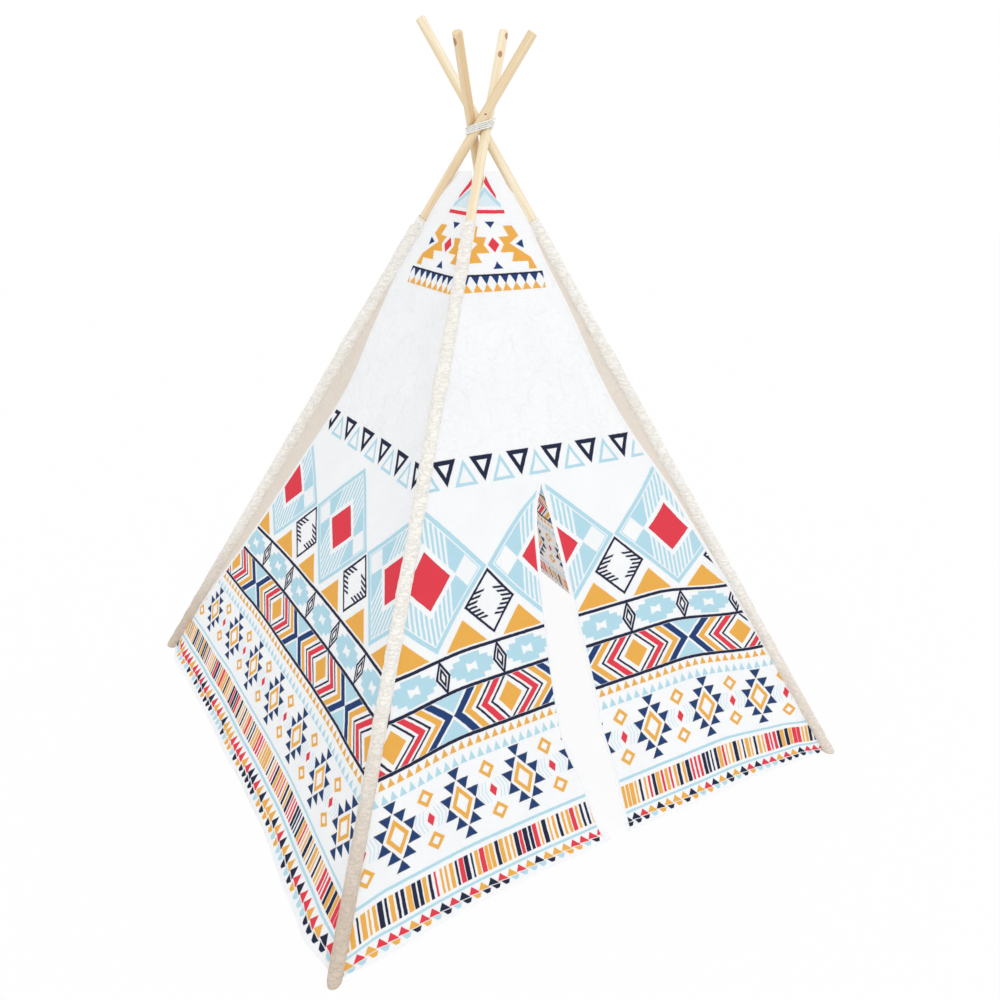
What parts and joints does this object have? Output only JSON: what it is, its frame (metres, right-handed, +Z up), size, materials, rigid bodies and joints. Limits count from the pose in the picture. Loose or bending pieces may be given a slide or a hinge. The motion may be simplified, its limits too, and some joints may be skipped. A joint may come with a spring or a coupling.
{
  "type": "kids teepee",
  "caption": "Square play tepee for children: crossed jointed wooden poles tied with cord, corner sleeves, printed cloth walls and a slit door with fold-back flaps.",
  "frame": {"origin": "on the floor, under the point where the poles cross", "axes": "+Z up, door in the wall that faces -Y, +X to the right as seen from the front"},
  "size_m": [1.2268, 1.2268, 1.5064],
  "materials": {
    "pole_wood": "bare sanded pine",
    "ferrule_steel": "zinc plated",
    "sleeve_cloth": "plain ecru cotton",
    "wall_cloth": "white cotton canvas with a printed banded pattern",
    "cord": "white cotton cord"
  },
  "bodies": {
    "side_walls": {"wall_left": "wall_cloth", "wall_right": "wall_cloth", "tie_cord": "cord"},
    "front_frame": {"wall_front": "wall_cloth", "pole_front_left_lower": "pole_wood", "pole_front_left_middle": "pole_wood", "pole_front_left_upper": "pole_wood", "ferrule_front_left_lower": "ferrule_steel", "ferrule_front_left_upper": "ferrule_steel", "sleeve_front_left": "sleeve_cloth", "pole_front_right_lower": "pole_wood", "pole_front_right_middle": "pole_wood", "pole_front_right_upper": "pole_wood", "ferrule_front_right_lower": "ferrule_steel", "ferrule_front_right_upper": "ferrule_steel", "sleeve_front_right": "sleeve_cloth"},
    "back_frame": {"wall_back": "wall_cloth", "pole_back_left_lower": "pole_wood", "pole_back_left_middle": "pole_wood", "pole_back_left_upper": "pole_wood", "ferrule_back_left_lower": "ferrule_steel", "ferrule_back_left_upper": "ferrule_steel", "sleeve_back_left": "sleeve_cloth", "pole_back_right_lower": "pole_wood", "pole_back_right_middle": "pole_wood", "pole_back_right_upper": "pole_wood", "ferrule_back_right_lower": "ferrule_steel", "ferrule_back_right_upper": "ferrule_steel", "sleeve_back_right": "sleeve_cloth"},
    "flap_left": {"door_flap_left": "wall_cloth"},
    "flap_right": {"door_flap_right": "wall_cloth"}
  },
  "joints": [
    {"name": "fold_front", "type": "hinge", "parent": "side_walls", "child": "front_frame", "pos_m": [0, 0, 1.308], "axis": [1, 0, 0], "range_deg": [0, 20], "deforming": ["tie_cord"]},
    {"name": "fold_back", "type": "hinge", "parent": "side_walls", "child": "back_frame", "pos_m": [0, 0, 1.308], "axis": [-1, 0, 0], "range_deg": [0, 20]},
    {"name": "open_flap_left", "type": "hinge", "parent": "front_frame", "child": "flap_left", "pos_m": [-0.15953, -0.43863, 0.34029], "axis": [-0.3468, -0.3826, -0.8564], "range_deg": [0, 150]},
    {"name": "open_flap_right", "type": "hinge", "parent": "front_frame", "child": "flap_right", "pos_m": [0.14545, -0.43825, 0.34026], "axis": [-0.3775, 0.378, 0.8454], "range_deg": [0, 150]}
  ],
  "couplings": [
    {"joint": "fold_back", "follows": "fold_front", "ratio": 1}
  ]
}
